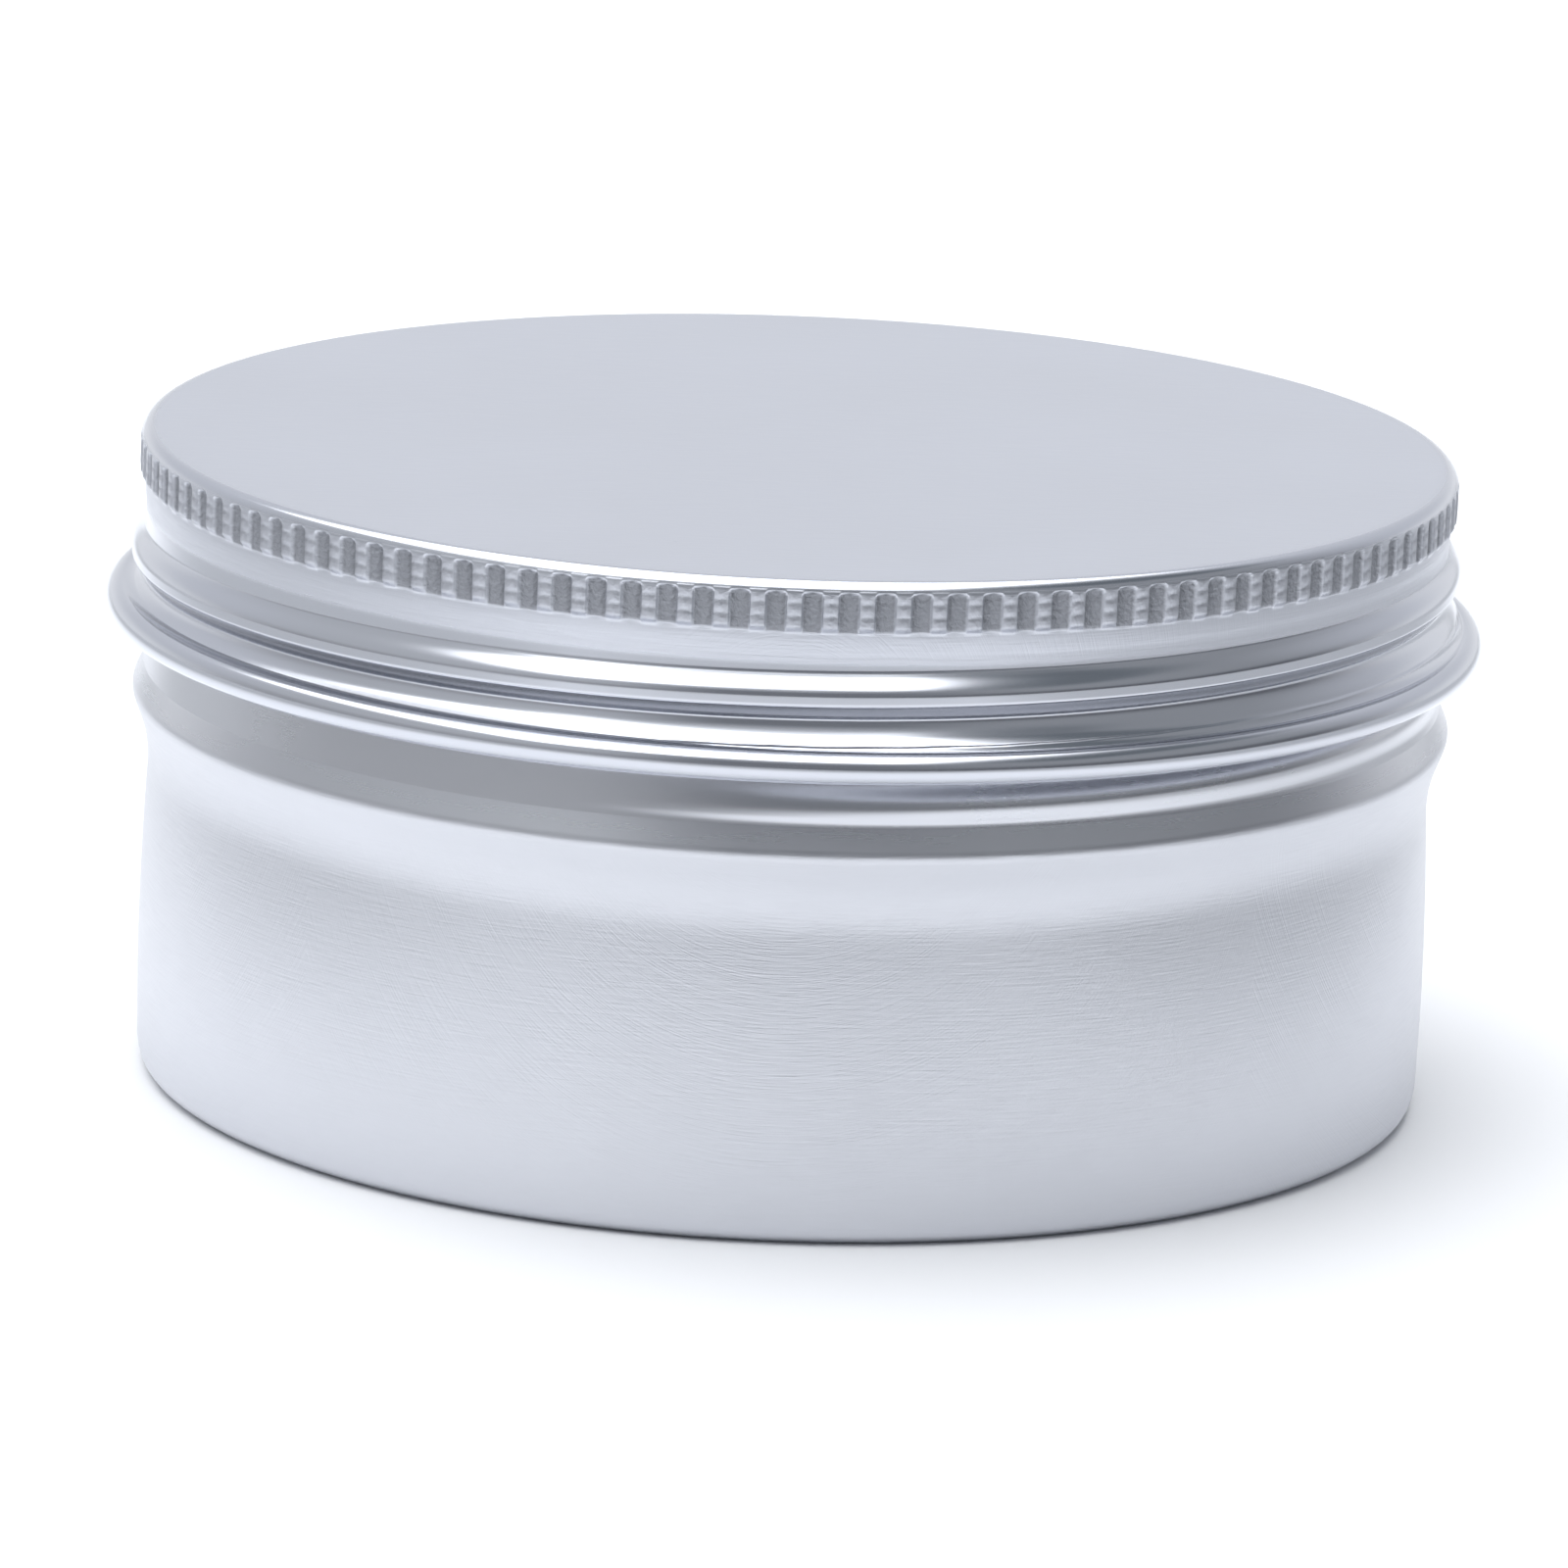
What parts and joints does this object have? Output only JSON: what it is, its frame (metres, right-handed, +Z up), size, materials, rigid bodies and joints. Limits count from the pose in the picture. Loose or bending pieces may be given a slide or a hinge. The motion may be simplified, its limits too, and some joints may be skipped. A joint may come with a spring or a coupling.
{
  "type": "candle tin",
  "caption": "Round, low aluminium tin with a flat, knurled screw lid and a foam sealing disc, for holding a poured candle, soap or balm.",
  "frame": {"origin": "centre of the ring that the cup stands on", "axes": "+Z up along the tin's axis, -Y is the front"},
  "size_m": [0.083, 0.083, 0.0392],
  "materials": {
    "cup_aluminium": "bright satin, very fine brushed grain around the wall",
    "lid_aluminium": "bright satin, with a polished hem and thread",
    "liner_foam": "soft matt white foam"
  },
  "bodies": {
    "cup": {"base_cup": "cup_aluminium"},
    "liner": {"lid_liner": "liner_foam"},
    "lid": {"lid_shell": "lid_aluminium"}
  },
  "joints": [
    {"name": "lid_lift", "type": "slide", "parent": "cup", "child": "liner", "axis": [0, 0, 1], "range_m": [0, 0.06]},
    {"name": "lid_turn", "type": "hinge", "parent": "liner", "child": "lid", "pos_m": [0, 0, 0.03], "axis": [0, 0, 1], "range_deg": [0, 480]}
  ]
}
